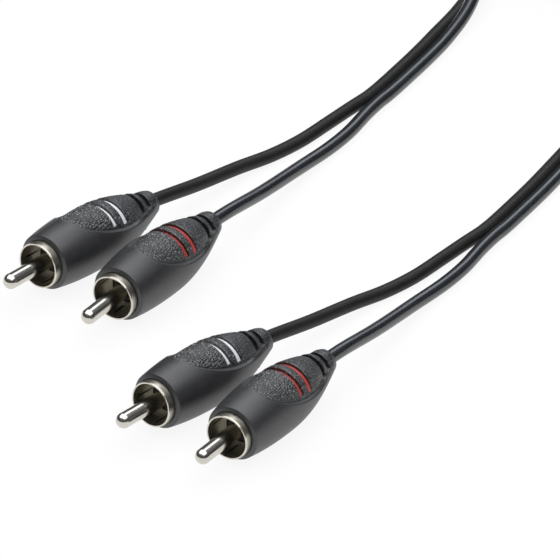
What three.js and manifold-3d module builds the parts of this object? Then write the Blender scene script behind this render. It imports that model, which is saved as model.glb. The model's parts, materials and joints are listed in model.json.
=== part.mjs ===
// Stereo audio lead: two pairs of phono plugs, joined by a flat twin cable.
//
// Millimetres, +Z up. The origin is the middle of the four plugs' footprint, on the surface
// that they lie on. Each plug is drawn in a frame of its own: +X runs along its axis, from the
// rim of its ring back to the cable, and +Z points out of its grip panel. A station is a
// distance along that axis from the rim, so the pin, which stands out in front, has stations
// below zero.

import * as THREE from 'three';
import { mergeVertices } from 'three/addons/utils/BufferGeometryUtils.js';
import Module from 'manifold-3d';

const wasm = await Module();
wasm.setup();

// Fits, and how many facets go round a piece
const GAP = 0.3; // air between neighbouring pieces
const BOOT_FACETS = 20;
const BOOT_RINGS = 10;
const METAL_FACETS = 16;
const NOSE_FACETS = 5;
const ARCH_SEGMENTS = 5;
const CABLE_FACETS = 8;
const COIL_FACETS = 40;
const WIRE_STEPS = 8;
const STEP_DIAMETERS = 2.6; // from one step of a cord to the next, in cord diameters
const WELD = 1e-4; // points closer than this are one point

// Centre pin: the signal contact, a round-nosed rod with a solder tube on its back
const PIN_RADIUS = 1.6;
const PIN_REACH = 9.7; // from the ring's rim to the pin's tip
const PIN_COLLAR_RADIUS = 2.2;
const PIN_COLLAR_LENGTH = 0.6;
const SOLDER_TUBE_RADIUS = 1.2;
const SOLDER_TUBE_LENGTH = 4.6;
const SOLDER_BORE_RADIUS = 0.7;
const SOLDER_BORE_DEPTH = 3;

// Ground ring: a stamped cup, open to the front, slotted so that it springs
const RING_RADIUS = 4.75;
const RING_WALL = 0.5;
const RING_DEPTH = 4.6; // from the rim to the floor of the cup
const RING_SLOTS = 4;
const RING_SLOT_WIDTH = 0.4;
const RING_RIM_LENGTH = 1.5; // the unbroken band in front of the slots
const TAB_WIDTH = 2;
const TAB_LENGTH = 5.8;

// Insulator: a spool through the floor of the cup
const INSULATOR_NOSE_RADIUS = 2.9;
const INSULATOR_PROUD = 0.2; // how far its nose stands above the cup's floor
const INSULATOR_FLANGE_RADIUS = 3.5;
const INSULATOR_FLANGE_LENGTH = 2.1;

// Cable: one leg, and the twin that two legs make
const LEG_RADIUS = 1.4;
const TWIN_WEB = 0.1; // how far the twin's two round halves stand apart
const WIRE_RADIUS = 0.35;
const WIRE_INSULATION_RADIUS = 0.8;
const DRAIN_LAP = 2; // the drain wire's length under the ground tab
const BARE_WIRE_LENGTH = 3.3; // from the solder tube back to the end of the jacket

// Coloured inner body, moulded over the metal and the cable, whose ribs are the stripes
const CORE_COVER = 0.15; // plastic outside the ground tab
const CORE_WAIST_RADIUS = 3.9;
const CORE_STEP_LENGTH = 2; // from the full radius down to the waist
const STRIPE_STATION = 18.15; // the middle of the narrow stripe
const STRIPE_SPACING = 3.1; // from there to the middle of the wide one
const STRIPE_WIDTHS = [1, 1.15];
const STRIPE_RADII = [5.62, 5.35]; // of their outer faces, which lie below the panel
const STRIPE_MARGIN = THREE.MathUtils.degToRad(13); // from its end to the panel's edge
const CORE_PAST_STRIPES = 1.8;
const CORE_TAPER_LENGTH = 3.5;
const CORE_END_WALL = 1.3;

// Boot: the soft black grip moulded over everything
const LIP_SETBACK = 2; // from the ring's rim to the boot's front edge
const LIP_WALL = 0.7;
const LIP_SLOPE = 0.5; // how steeply its front face sinks towards the ring
const BARREL_SWELL = 1; // the widest radius less the front one
const SWELL_POWER = 2.4; // the higher, the fuller the barrel is in front
const BARREL_FRONT_LENGTH = 13.6; // from the front edge to the widest place
const TAPER_LENGTH = 18.4; // from the widest place to the round end of the tail
const TAIL_WALL = 1;
const TAIL_END_WALL = 0.35;
const TAIL_END_LENGTH = 0.7;
const PANEL_START = 7.9; // station of the grip panel's front tip
const PANEL_END = 34.2;
const PANEL_REACH = THREE.MathUtils.degToRad(87); // to each side, where it is widest
const PANEL_FULLNESS = 0.5; // the lower, the blunter its front tip
const PANEL_DEPTH = 0.42; // how far its middle lies below the round of the barrel
const PANEL_HOLLOW = 1.2; // how much deeper it is at its sides, as a share of that
const PANEL_WALL = 0.7; // width of the slope round it
const PANEL_SINK_LENGTH = 5; // from its tip to its full depth
const PANEL_RISE_START = 31.2;
const PANEL_RISE_LENGTH = 2.5;
const RELIEF_SLOTS = [28.35, 31]; // stations of the flexing slots behind the stripes
const RELIEF_SLOT_WIDTH = 1.25;
const RELIEF_SLOT_DEPTH = 1;
const RELIEF_UPPER_SPREAD = THREE.MathUtils.degToRad(68);
const RELIEF_LOWER_SPREAD = THREE.MathUtils.degToRad(45);

// Where the plugs lie: the middle of each rim, which way the plug points along the surface,
// how far its nose points up and how far it is turned about its axis, towards its right side
const WHITE_PLUG = { x: -26.01, y: 23.09, yaw: 39.7, noseUp: 1.2, roll: -3.5 };
const RED_PLUG = { x: -11.13, y: 11.5, yaw: 34.2, noseUp: -1.4, roll: 9.5 };
const SECOND_PAIR = { x: 22.6, y: -54.3 }; // the second pair lies beside the first

// The cable's route behind each pair, as points on its middle, for the first pair. The legs
// start in the plugs; the second pair's legs are the same route moved by SECOND_PAIR.
const WHITE_LEG = [[5.43, 61.15, 3.9], [13.63, 70.6, 2.4], [20.09, 77.05, 1.5],
  [25.83, 82.85, 1.45], [31.73, 90.55, 1.45], [35.84, 96.05, 1.45], [39.87, 101.28, 1.45]];
const RED_LEG = [[11.58, 44.85, 7.0], [18.19, 56.35, 4.8], [25.83, 70.55, 2.4], [31.78, 80.05, 1.5],
  [35.73, 86.65, 1.45], [39.69, 94.35, 1.45], [42.3, 99.88, 1.45]];
const SPLIT = [41.09, 100.58, 1.45]; // where the two legs become the twin
const SPLIT_HEADING = [0.495, 0.869, 0];
const FIRST_TWIN = [[46.83, 110.65, 1.45], [50.79, 118.15, 1.45], [54.73, 126.25, 1.45],
  [58.59, 134.65, 1.7], [61.39, 144.05, 3.4], [61.99, 153.55, 6.4], [59.39, 160.55, 8.4]];
const SECOND_TWIN = [[69.43, 56.35, 1.45], [73.39, 63.85, 1.45], [77.33, 71.95, 1.45],
  [82.59, 83.05, 1.45], [89.09, 97.05, 1.45], [96.09, 112.05, 1.45], [103.09, 127.05, 1.45],
  [110.09, 142.55, 1.7], [115.79, 156.05, 2.6]];

// The length that is put away: a coil of the twin stood on edge, held by a tie
const COIL_CENTRE = { x: 88.39, y: 178.95 };
const COIL_RADIUS = 30.4; // to the middle of its turns
const COIL_COLUMNS = 3;
const COIL_LAYERS = 2;
const TIE_THICKNESS = 0.6;
const TIE_WIDTH = 4;
const TIE_TAIL_LENGTH = 6;
const TIE_TAIL_THICKNESS = 1.6;
const TIE_ANGLE = THREE.MathUtils.degToRad(60); // round the coil from +X

// Stations and radii that follow from the sizes above
const cupBack = RING_DEPTH + RING_WALL;
const cupHoleRadius = INSULATOR_NOSE_RADIUS + GAP;
const insulatorBack = cupBack + GAP + INSULATOR_FLANGE_LENGTH;
const pinCollarStart = insulatorBack + GAP;
const pinTubeStart = pinCollarStart + PIN_COLLAR_LENGTH;
const pinBack = pinTubeStart + SOLDER_TUBE_LENGTH;
const wireEnd = pinBack + BARE_WIRE_LENGTH;
const jacketStart = wireEnd + GAP;
const tabOuter = RING_RADIUS - GAP;
const tabInner = tabOuter - RING_WALL;
const tabEnd = cupBack + TAB_LENGTH;
const legBore = LEG_RADIUS + GAP;
const coreRadius = tabOuter + CORE_COVER;
const coreShoulder = STRIPE_STATION + STRIPE_SPACING + CORE_PAST_STRIPES;
const coreEnd = coreShoulder + CORE_TAPER_LENGTH;
const coreEndRadius = legBore + CORE_END_WALL;
const ringHole = RING_RADIUS + GAP;
const lipRadius = ringHole + LIP_WALL;
const widestRadius = lipRadius + BARREL_SWELL;
const widestStation = LIP_SETBACK + BARREL_FRONT_LENGTH;
const tailRadius = legBore + TAIL_WALL;
const tailStation = widestStation + TAPER_LENGTH;
const bootEnd = tailStation + TAIL_END_LENGTH;

// A closed three.js geometry as a solid that can be joined and cut
function solidOf(geometry) {
  const bare = geometry.clone();
  bare.deleteAttribute('normal');
  bare.deleteAttribute('uv');
  const merged = mergeVertices(bare, WELD);
  const corners = merged.index.array;
  const kept = [];
  for (let i = 0; i < corners.length; i += 3) {
    const triangle = [corners[i], corners[i + 1], corners[i + 2]];
    if (new Set(triangle).size === 3) kept.push(...triangle);
  }
  return new wasm.Manifold(new wasm.Mesh({
    numProp: 3,
    vertProperties: merged.attributes.position.array,
    triVerts: Uint32Array.from(kept),
  }));
}

function geometryOf(solid) {
  const { vertProperties, triVerts } = solid.getMesh();
  const geometry = new THREE.BufferGeometry();
  geometry.setAttribute('position', new THREE.BufferAttribute(vertProperties, 3));
  geometry.setIndex(new THREE.BufferAttribute(triVerts, 1));
  return geometry;
}

// A body turned about the plug's axis. Its [station, radius] pairs run backwards along the
// outside, then forwards along the inside if it has one.
function turned(profile, facets) {
  const points = profile.map(([station, radius]) => new THREE.Vector2(radius, station));
  if (profile[0][1] > 0) points.push(points[0].clone());
  const lathe = new THREE.LatheGeometry(points, facets);
  return solidOf(lathe.rotateZ(-Math.PI / 2));
}

// An upright outline, drawn as seen from behind the plug, carried from one station to another
function carried(outline, from, to) {
  const prism = new THREE.ExtrudeGeometry(outline, {
    depth: to - from, bevelEnabled: false, curveSegments: ARCH_SEGMENTS,
  });
  const across = new THREE.Vector3(0, 1, 0);
  const up = new THREE.Vector3(0, 0, 1);
  const back = new THREE.Vector3(1, 0, 0);
  prism.applyMatrix4(new THREE.Matrix4().makeBasis(across, up, back));
  return solidOf(prism.translate(from, 0, 0));
}

function block(from, to, left, right, bottom, top) {
  const box = new THREE.BoxGeometry(to - from, right - left, top - bottom);
  return solidOf(box.translate((from + to) / 2, (left + right) / 2, (bottom + top) / 2));
}

// Part of a pipe about the axis, spread to both sides of its top
function arch(from, to, inner, outer, spread) {
  const outline = new THREE.Shape();
  outline.absarc(0, 0, outer, Math.PI / 2 - spread, Math.PI / 2 + spread, false);
  outline.absarc(0, 0, inner, Math.PI / 2 + spread, Math.PI / 2 - spread, true);
  return carried(outline, from, to);
}

function tube(section, curve, steps) {
  return solidOf(new THREE.ExtrudeGeometry(section, { steps, extrudePath: curve }));
}

function roundSection(radius) {
  const corners = [];
  for (let i = 0; i < CABLE_FACETS; i += 1) {
    const angle = ((i + 0.5) / CABLE_FACETS) * 2 * Math.PI;
    corners.push(new THREE.Vector2(radius * Math.cos(angle), radius * Math.sin(angle)));
  }
  return new THREE.Shape(corners);
}

function centrePin() {
  const nose = [];
  for (let i = 0; i <= NOSE_FACETS; i += 1) {
    const angle = (i / NOSE_FACETS) * (Math.PI / 2);
    const station = -PIN_REACH + PIN_RADIUS * (1 - Math.cos(angle));
    nose.push([station, PIN_RADIUS * Math.sin(angle)]);
  }
  return turned([
    ...nose,
    [pinCollarStart, PIN_RADIUS],
    [pinCollarStart, PIN_COLLAR_RADIUS],
    [pinTubeStart, PIN_COLLAR_RADIUS],
    [pinTubeStart, SOLDER_TUBE_RADIUS],
    [pinBack, SOLDER_TUBE_RADIUS],
    [pinBack, SOLDER_BORE_RADIUS],
    [pinBack - SOLDER_BORE_DEPTH, SOLDER_BORE_RADIUS],
    [pinBack - SOLDER_BORE_DEPTH, 0],
  ], METAL_FACETS);
}

function insulator() {
  return turned([
    [RING_DEPTH - INSULATOR_PROUD, INSULATOR_NOSE_RADIUS],
    [cupBack + GAP, INSULATOR_NOSE_RADIUS],
    [cupBack + GAP, INSULATOR_FLANGE_RADIUS],
    [insulatorBack, INSULATOR_FLANGE_RADIUS],
    [insulatorBack, PIN_RADIUS + GAP],
    [RING_DEPTH - INSULATOR_PROUD, PIN_RADIUS + GAP],
  ], METAL_FACETS);
}

function groundRing() {
  const inside = RING_RADIUS - RING_WALL;
  const cup = turned([
    [0, RING_RADIUS],
    [cupBack, RING_RADIUS],
    [cupBack, cupHoleRadius],
    [RING_DEPTH, cupHoleRadius],
    [RING_DEPTH, inside],
    [0, inside],
  ], METAL_FACETS);
  const half = TAB_WIDTH / 2;
  const tab = block(cupBack - RING_WALL / 2, tabEnd, tabInner, tabOuter, -half, half);
  let ring = cup.add(tab);
  const slot = block(RING_RIM_LENGTH, RING_DEPTH, -RING_SLOT_WIDTH / 2, RING_SLOT_WIDTH / 2,
    inside / 2, ringHole);
  for (let i = 0; i < RING_SLOTS; i += 1) {
    ring = ring.subtract(slot.rotate([(i / RING_SLOTS) * 360, 0, 0]));
  }
  return ring;
}

// Radius of the boot before its grip panel is sunk: a quick swell behind the front edge, and
// a long full taper down to the tail
function barrelRadius(station) {
  if (station <= widestStation) {
    const ahead = (widestStation - station) / BARREL_FRONT_LENGTH;
    return widestRadius - BARREL_SWELL * ahead ** SWELL_POWER;
  }
  const along = Math.min((station - widestStation) / TAPER_LENGTH, 1);
  return tailRadius + (widestRadius - tailRadius) * Math.cos((along * Math.PI) / 2);
}

// How far the grip panel spreads to each side of its middle: nothing at its front tip, and
// almost half of the way round at the tail
function panelEdge(station) {
  const along = THREE.MathUtils.clamp((station - PANEL_START) / (PANEL_END - PANEL_START), 0, 1);
  return PANEL_REACH * Math.sin((Math.PI / 2) * along ** PANEL_FULLNESS);
}

function panelDepth(station) {
  const sunk = THREE.MathUtils.smoothstep(station, PANEL_START, PANEL_START + PANEL_SINK_LENGTH);
  const riseEnd = PANEL_RISE_START + PANEL_RISE_LENGTH;
  return PANEL_DEPTH * sunk * (1 - THREE.MathUtils.smoothstep(station, PANEL_RISE_START, riseEnd));
}

// Radius of the boot's surface, at an angle from the middle of the grip panel. The panel is
// deeper towards its sides, where a short slope brings it back to the barrel.
function bootRadius(station, angle) {
  const round = barrelRadius(station);
  const edge = panelEdge(station);
  if (angle >= edge) return round;
  const inside = (edge - angle) * round;
  const hollow = 1 + PANEL_HOLLOW * (angle / edge) ** 2;
  return round - panelDepth(station) * hollow * THREE.MathUtils.smoothstep(inside, 0, PANEL_WALL);
}

// The boot without its holes
function bootForm() {
  const rings = [];
  for (let i = 0; i <= BOOT_RINGS; i += 1) {
    const station = LIP_SETBACK + (i / BOOT_RINGS) * (tailStation - LIP_SETBACK);
    rings.push([station, (angle) => bootRadius(station, angle)]);
  }
  rings.push([bootEnd, () => legBore + TAIL_END_WALL]);
  const noseDepth = LIP_SLOPE * lipRadius;
  const positions = [LIP_SETBACK + noseDepth, 0, 0];
  for (const [station, radiusAt] of rings) {
    for (let j = 0; j < BOOT_FACETS; j += 1) {
      const angle = (j / BOOT_FACETS) * 2 * Math.PI;
      const radius = radiusAt(Math.acos(Math.cos(angle)));
      positions.push(station, radius * Math.sin(angle), radius * Math.cos(angle));
    }
  }
  positions.push(bootEnd, 0, 0);
  const last = positions.length / 3 - 1;
  const triangles = [];
  for (let j = 0; j < BOOT_FACETS; j += 1) {
    const next = (j + 1) % BOOT_FACETS;
    triangles.push(0, 1 + j, 1 + next);
    for (let i = 0; i < rings.length - 1; i += 1) {
      const near = 1 + i * BOOT_FACETS;
      const far = near + BOOT_FACETS;
      triangles.push(near + j, far + j, near + next, near + next, far + j, far + next);
    }
    const end = 1 + (rings.length - 1) * BOOT_FACETS;
    triangles.push(end + j, last, end + next);
  }
  const form = new THREE.BufferGeometry();
  form.setAttribute('position', new THREE.Float32BufferAttribute(positions, 3));
  form.setIndex(triangles);
  return solidOf(form);
}

// The two stripes across the panel, or the wider room for them in the boot
function stripes(air) {
  return STRIPE_WIDTHS.map((width, i) => {
    const middle = STRIPE_STATION + i * STRIPE_SPACING;
    const half = width / 2 + air;
    const spread = panelEdge(middle) - STRIPE_MARGIN + air / widestRadius;
    const outer = air > 0 ? widestRadius + GAP : STRIPE_RADII[i];
    return arch(middle - half, middle + half, CORE_WAIST_RADIUS - GAP, outer, spread);
  });
}

function innerBody() {
  const bore = PIN_COLLAR_RADIUS + GAP;
  const core = turned([
    [pinCollarStart, coreRadius],
    [tabEnd + GAP, coreRadius],
    [tabEnd + GAP + CORE_STEP_LENGTH, CORE_WAIST_RADIUS],
    [coreShoulder, CORE_WAIST_RADIUS],
    [coreEnd, coreEndRadius],
    [coreEnd, legBore],
    [jacketStart - GAP / 2, legBore],
    [jacketStart - GAP / 2, bore],
    [pinCollarStart, bore],
  ], METAL_FACETS);
  const tabRoom = block(pinCollarStart - GAP, wireEnd - 2 * GAP, 0, coreRadius + GAP,
    -TAB_WIDTH / 2 - GAP, TAB_WIDTH / 2 + GAP);
  let body = core.subtract(tabRoom);
  for (const stripe of stripes(0)) body = body.add(stripe);
  return body;
}

function boot() {
  const cavity = turned([
    [LIP_SETBACK - GAP, 0],
    [LIP_SETBACK - GAP, ringHole],
    [cupBack + GAP / 2, ringHole],
    [cupBack + GAP / 2, coreRadius + GAP],
    [tabEnd + 2 * GAP, coreRadius + GAP],
    [tabEnd + 2 * GAP + CORE_STEP_LENGTH, CORE_WAIST_RADIUS + GAP],
    [coreShoulder + GAP, CORE_WAIST_RADIUS + GAP],
    [coreEnd + GAP, coreEndRadius + GAP],
    [coreEnd + GAP, legBore],
    [bootEnd + GAP, legBore],
    [bootEnd + GAP, 0],
  ], METAL_FACETS);
  let shell = bootForm().subtract(cavity);
  for (const stripe of stripes(GAP)) shell = shell.subtract(stripe);
  const half = RELIEF_SLOT_WIDTH / 2;
  for (const station of RELIEF_SLOTS) {
    const floor = bootRadius(station, 0) - RELIEF_SLOT_DEPTH;
    const cut = (spread) => arch(station - half, station + half, floor, widestRadius, spread);
    const lower = cut(RELIEF_LOWER_SPREAD).rotate([180, 0, 0]);
    shell = shell.subtract(cut(RELIEF_UPPER_SPREAD)).subtract(lower);
  }
  return shell;
}

function signalWire() {
  return turned([
    [pinBack - SOLDER_BORE_DEPTH + GAP, 0],
    [pinBack - SOLDER_BORE_DEPTH + GAP, WIRE_RADIUS],
    [wireEnd, WIRE_RADIUS],
    [wireEnd, 0],
  ], CABLE_FACETS);
}

function wireInsulation() {
  const bore = WIRE_RADIUS + GAP / 2;
  return turned([
    [pinBack + GAP, WIRE_INSULATION_RADIUS],
    [wireEnd, WIRE_INSULATION_RADIUS],
    [wireEnd, bore],
    [pinBack + GAP, bore],
  ], CABLE_FACETS);
}

// The screen's strands, twisted together and bent from the jacket out to the ground tab
function drainWire() {
  const atTab = tabInner - GAP - WIRE_RADIUS;
  const atJacket = WIRE_INSULATION_RADIUS + GAP / 2 + WIRE_RADIUS;
  const route = new THREE.CatmullRomCurve3([
    new THREE.Vector3(tabEnd - DRAIN_LAP, atTab, 0),
    new THREE.Vector3(tabEnd, atTab, 0),
    new THREE.Vector3((tabEnd + wireEnd) / 2, (atTab + atJacket) / 2 + GAP, 0),
    new THREE.Vector3(wireEnd - GAP, atJacket, 0),
    new THREE.Vector3(wireEnd, atJacket, 0),
  ]);
  return tube(roundSection(WIRE_RADIUS), route, WIRE_STEPS);
}

const black = { color: 0x1f2023, roughness: 0.5, metalness: 0 };
const nickel = { color: 0xcfcabf, roughness: 0.15, metalness: 1 };
const pinNickel = { color: 0xd6d0c4, roughness: 0.1, metalness: 1 };
const washerBlack = { color: 0x2b2b2a, roughness: 0.5, metalness: 0 };
const white = { color: 0xf0f1f4, roughness: 0.45, metalness: 0 };
const red = { color: 0xc8473f, roughness: 0.45, metalness: 0 };
const copper = { color: 0xb8734a, roughness: 0.35, metalness: 1 };
const jacket = { color: 0x1a1b1e, roughness: 0.42, metalness: 0 };
const tiePlastic = { color: 0x17181a, roughness: 0.5, metalness: 0 };

function named(name, geometry, finish) {
  const mesh = new THREE.Mesh(geometry, new THREE.MeshStandardMaterial(finish));
  mesh.name = name;
  return mesh;
}

const plugPieces = [
  ['centre_pin', geometryOf(centrePin()), pinNickel],
  ['insulator', geometryOf(insulator()), washerBlack],
  ['ground_ring', geometryOf(groundRing()), nickel],
  ['inner_body', geometryOf(innerBody()), null],
  ['boot', geometryOf(boot()), black],
  ['signal_wire', geometryOf(signalWire()), copper],
  ['wire_insulation', geometryOf(wireInsulation()), white],
  ['drain_wire', geometryOf(drainWire()), copper],
];

// One plug where it lies, lowered until it touches the surface
function plug(name, place, colour) {
  const group = new THREE.Group();
  for (const [piece, geometry, finish] of plugPieces) {
    group.add(named(`${name}_${piece}`, geometry, finish ?? colour));
  }
  const { degToRad } = THREE.MathUtils;
  const heading = degToRad(90 - place.yaw);
  group.rotation.set(degToRad(place.roll), degToRad(place.noseUp), heading, 'ZYX');
  group.position.set(place.x, place.y, 0);
  const box = new THREE.Box3().setFromObject(group, true);
  group.position.z = -box.min.z;
  group.updateMatrixWorld(true);
  return group;
}

// A leg, from the end of its jacket inside the plug to the split, moved aside by an offset
function leg(name, from, route, offset) {
  const inside = new THREE.Vector3(jacketStart, 0, 0).applyMatrix4(from.matrixWorld);
  const middle = new THREE.Vector3((jacketStart + bootEnd) / 2, 0, 0).applyMatrix4(from.matrixWorld);
  const tail = new THREE.Vector3(bootEnd, 0, 0).applyMatrix4(from.matrixWorld);
  const points = route.map(([x, y, z]) => new THREE.Vector3(x + offset.x, y + offset.y, z));
  const curve = new THREE.CatmullRomCurve3([inside, middle, tail, ...points], false, 'centripetal');
  const steps = Math.round(curve.getLength() / (STEP_DIAMETERS * 2 * LEG_RADIUS));
  return named(name, geometryOf(tube(roundSection(LEG_RADIUS), curve, steps)), jacket);
}

// Two round halves side by side with a waist between them
function twinSection() {
  const reach = LEG_RADIUS + TWIN_WEB / 2;
  const angles = [-135, -81, -27, 27, 81, 135].map(THREE.MathUtils.degToRad);
  const half = (side) => angles.map((angle) => new THREE.Vector2(
    side * LEG_RADIUS * Math.sin(angle),
    side * (reach + LEG_RADIUS * Math.cos(angle)),
  ));
  return new THREE.Shape([...half(1), ...half(-1)].reverse());
}

// The coil's solid, with the outer shape of all its turns together
const twinWidth = 4 * LEG_RADIUS + TWIN_WEB;
const bundleHalf = COIL_COLUMNS * LEG_RADIUS;
const bundleBottom = TIE_THICKNESS + GAP;
const bundleTop = bundleBottom + COIL_LAYERS * twinWidth;

function coilRing(air) {
  const inner = COIL_RADIUS - bundleHalf - air;
  const outer = COIL_RADIUS + bundleHalf + air;
  const section = [[inner, bundleBottom - air], [outer, bundleBottom - air],
    [outer, bundleTop + air], [inner, bundleTop + air], [inner, bundleBottom - air]];
  const ring = new THREE.LatheGeometry(section.map(([x, y]) => new THREE.Vector2(x, y)), COIL_FACETS);
  return solidOf(ring.rotateX(Math.PI / 2)).translate([COIL_CENTRE.x, COIL_CENTRE.y, 0]);
}

// A run of the twin from the split to the coil, where it ends against the outer turns
function twinRun(name, route, offset) {
  const start = new THREE.Vector3(...SPLIT).add(offset);
  const heading = new THREE.Vector3(...SPLIT_HEADING);
  const first = start.clone().addScaledVector(heading, GAP);
  const second = start.clone().addScaledVector(heading, 2 * LEG_RADIUS);
  const points = route.map((point) => new THREE.Vector3(...point));
  const curve = new THREE.CatmullRomCurve3([first, second, ...points], false, 'centripetal');
  const steps = Math.round(curve.getLength() / (STEP_DIAMETERS * twinWidth));
  const run = tube(twinSection(), curve, steps).subtract(coilRing(GAP));
  return named(name, geometryOf(run), jacket);
}

// A plastic-covered tie round the bundle, its ends twisted together into a short tail
function tie() {
  const air = GAP;
  const box = (grow) => [
    new THREE.Vector2(-bundleHalf - grow, bundleBottom - grow),
    new THREE.Vector2(bundleHalf + grow, bundleBottom - grow),
    new THREE.Vector2(bundleHalf + grow, bundleTop + grow),
    new THREE.Vector2(-bundleHalf - grow, bundleTop + grow),
  ];
  const outline = new THREE.Shape(box(air + TIE_THICKNESS));
  outline.holes.push(new THREE.Path(box(air)));
  const band = carried(outline, -TIE_WIDTH / 2, TIE_WIDTH / 2);
  const tailStart = bundleHalf + air + TIE_THICKNESS / 2;
  const tailHeight = (bundleBottom + bundleTop) / 2;
  const half = TIE_TAIL_THICKNESS / 2;
  const tail = block(-half, half, tailStart, tailStart + TIE_TAIL_LENGTH,
    tailHeight - half, tailHeight + half);
  const turn = THREE.MathUtils.radToDeg(TIE_ANGLE) - 90;
  return band.add(tail)
    .translate([0, COIL_RADIUS, 0])
    .rotate([0, 0, turn])
    .translate([COIL_CENTRE.x, COIL_CENTRE.y, 0]);
}

const lead = new THREE.Group();
const twinRoutes = [FIRST_TWIN, SECOND_TWIN];
for (const [index, end] of ['first', 'second'].entries()) {
  const offset = new THREE.Vector3(index * SECOND_PAIR.x, index * SECOND_PAIR.y, 0);
  const moved = (place) => ({ ...place, x: place.x + offset.x, y: place.y + offset.y });
  const whitePlug = plug(`${end}_white`, moved(WHITE_PLUG), white);
  const redPlug = plug(`${end}_red`, moved(RED_PLUG), red);
  lead.add(whitePlug, redPlug);
  lead.add(leg(`${end}_white_leg`, whitePlug, WHITE_LEG, offset));
  lead.add(leg(`${end}_red_leg`, redPlug, RED_LEG, offset));
  lead.add(twinRun(`${end}_twin_run`, twinRoutes[index], offset));
}
lead.add(named('twin_coil', geometryOf(coilRing(0)), jacket));
lead.add(named('coil_tie', geometryOf(tie()), tiePlastic));

export default lead;
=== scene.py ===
# %% [markdown]
# # A stereo audio lead with four phono plugs
# Four moulded plugs lie on a white table, two at each end of one flat twin cable. The solids
# of the part are already fixed, so the first step is only to load them. Everything below is
# drawn in that same frame, in metres, so each finer piece lands exactly where its solid is.

# %% The fixed frame
import json
import math

import bpy
import numpy as np
from mathutils import Matrix, Vector

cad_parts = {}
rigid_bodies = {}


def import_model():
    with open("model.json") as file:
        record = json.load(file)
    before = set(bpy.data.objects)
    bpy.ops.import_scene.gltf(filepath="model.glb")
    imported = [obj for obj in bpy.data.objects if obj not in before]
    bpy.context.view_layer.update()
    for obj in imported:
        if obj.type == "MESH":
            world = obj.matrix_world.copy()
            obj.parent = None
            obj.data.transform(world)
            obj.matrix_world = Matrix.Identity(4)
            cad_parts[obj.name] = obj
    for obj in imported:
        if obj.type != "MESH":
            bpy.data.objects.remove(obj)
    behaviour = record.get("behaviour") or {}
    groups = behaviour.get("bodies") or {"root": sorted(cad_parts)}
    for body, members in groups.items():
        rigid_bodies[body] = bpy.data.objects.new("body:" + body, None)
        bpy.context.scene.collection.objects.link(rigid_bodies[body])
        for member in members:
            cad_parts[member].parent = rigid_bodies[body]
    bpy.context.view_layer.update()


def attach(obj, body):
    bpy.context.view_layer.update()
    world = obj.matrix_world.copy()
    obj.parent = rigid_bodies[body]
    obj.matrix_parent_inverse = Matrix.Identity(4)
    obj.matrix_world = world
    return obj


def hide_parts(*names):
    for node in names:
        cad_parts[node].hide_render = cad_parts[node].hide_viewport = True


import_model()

MM = 0.001

# %% [markdown]
# ## The camera
# The plugs were photographed from a long way off, so all four look the same size. An
# orthographic camera would give that flat look too. A camera four metres away with a very
# long lens is closer to the real one, and keeps the trace of depth that it had. It aims at
# the place on the table that the middle of the picture shows, from thirty degrees above.

# %% Camera
AIM = Vector((21.876, 29.811, 0)) * MM
ELEVATION = math.radians(30)
DISTANCE = 4.0
PICTURE_WIDTH = 110.89 * MM

camera = bpy.data.objects.new("camera", bpy.data.cameras.new("camera"))
camera.data.sensor_width = 36
camera.data.lens = camera.data.sensor_width * DISTANCE / PICTURE_WIDTH
camera.data.clip_start = 1
camera.data.clip_end = 12
camera.location = AIM + DISTANCE * Vector((0, -math.cos(ELEVATION), math.sin(ELEVATION)))
camera.rotation_euler = (math.pi / 2 - ELEVATION, 0, 0)
bpy.context.scene.collection.objects.link(camera)
bpy.context.scene.camera = camera
bpy.context.scene.view_settings.view_transform = "Standard"
print("lens", round(camera.data.lens), "mm for a picture", PICTURE_WIDTH / MM, "mm wide")

# %% [markdown]
# ## Where the plugs lie
# The four plugs are alike and lie in four places. Each could be drawn where it lies, but then
# every change would be made four times. So each plug gets a small frame of its own: +X runs
# from the rim of its ring back to the cable, +Z points out of its grip panel, and a station
# is a distance along +X from the rim. One mesh drawn in this frame then serves all four
# plugs.

# %% Plug frames
STATION_OF_END = 34.7
SECOND_PAIR = Vector((22.6, -54.3, 0))
WHITE_PLACE = dict(at=(-26.01, 23.09, 7.08), yaw=39.7, nose_up=1.2, roll=-3.5)
RED_PLACE = dict(at=(-11.13, 11.5, 6.41), yaw=34.2, nose_up=-1.4, roll=9.5)


def plug_matrix(place, offset):
    heading = Matrix.Rotation(math.radians(90 - place["yaw"]), 4, "Z")
    tilt = Matrix.Rotation(math.radians(place["nose_up"]), 4, "Y")
    turn = Matrix.Rotation(math.radians(place["roll"]), 4, "X")
    return Matrix.Translation((Vector(place["at"]) + offset) * MM) @ heading @ tilt @ turn


PLUGS = {}
for end, offset in (("first", Vector()), ("second", SECOND_PAIR)):
    PLUGS[end + "_white"] = plug_matrix(WHITE_PLACE, offset)
    PLUGS[end + "_red"] = plug_matrix(RED_PLACE, offset)
print("plugs:", ", ".join(PLUGS))

# %% [markdown]
# ## The cords
# A cable is a fixed length of something bendy, so its route comes first and its skin second.
# The route is a smooth curve through points on its middle, measured out into even steps. A
# Blender curve with a bevel could draw the skin, but it twists as it likes. Here the skin is
# one cross-section carried along the steps, which turns only as far as it is told to, so that
# the flat twin can lie flat on the table and stand on edge in the coil.

# %% Route and skin helpers
SAMPLES_PER_SPAN = 24


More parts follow.
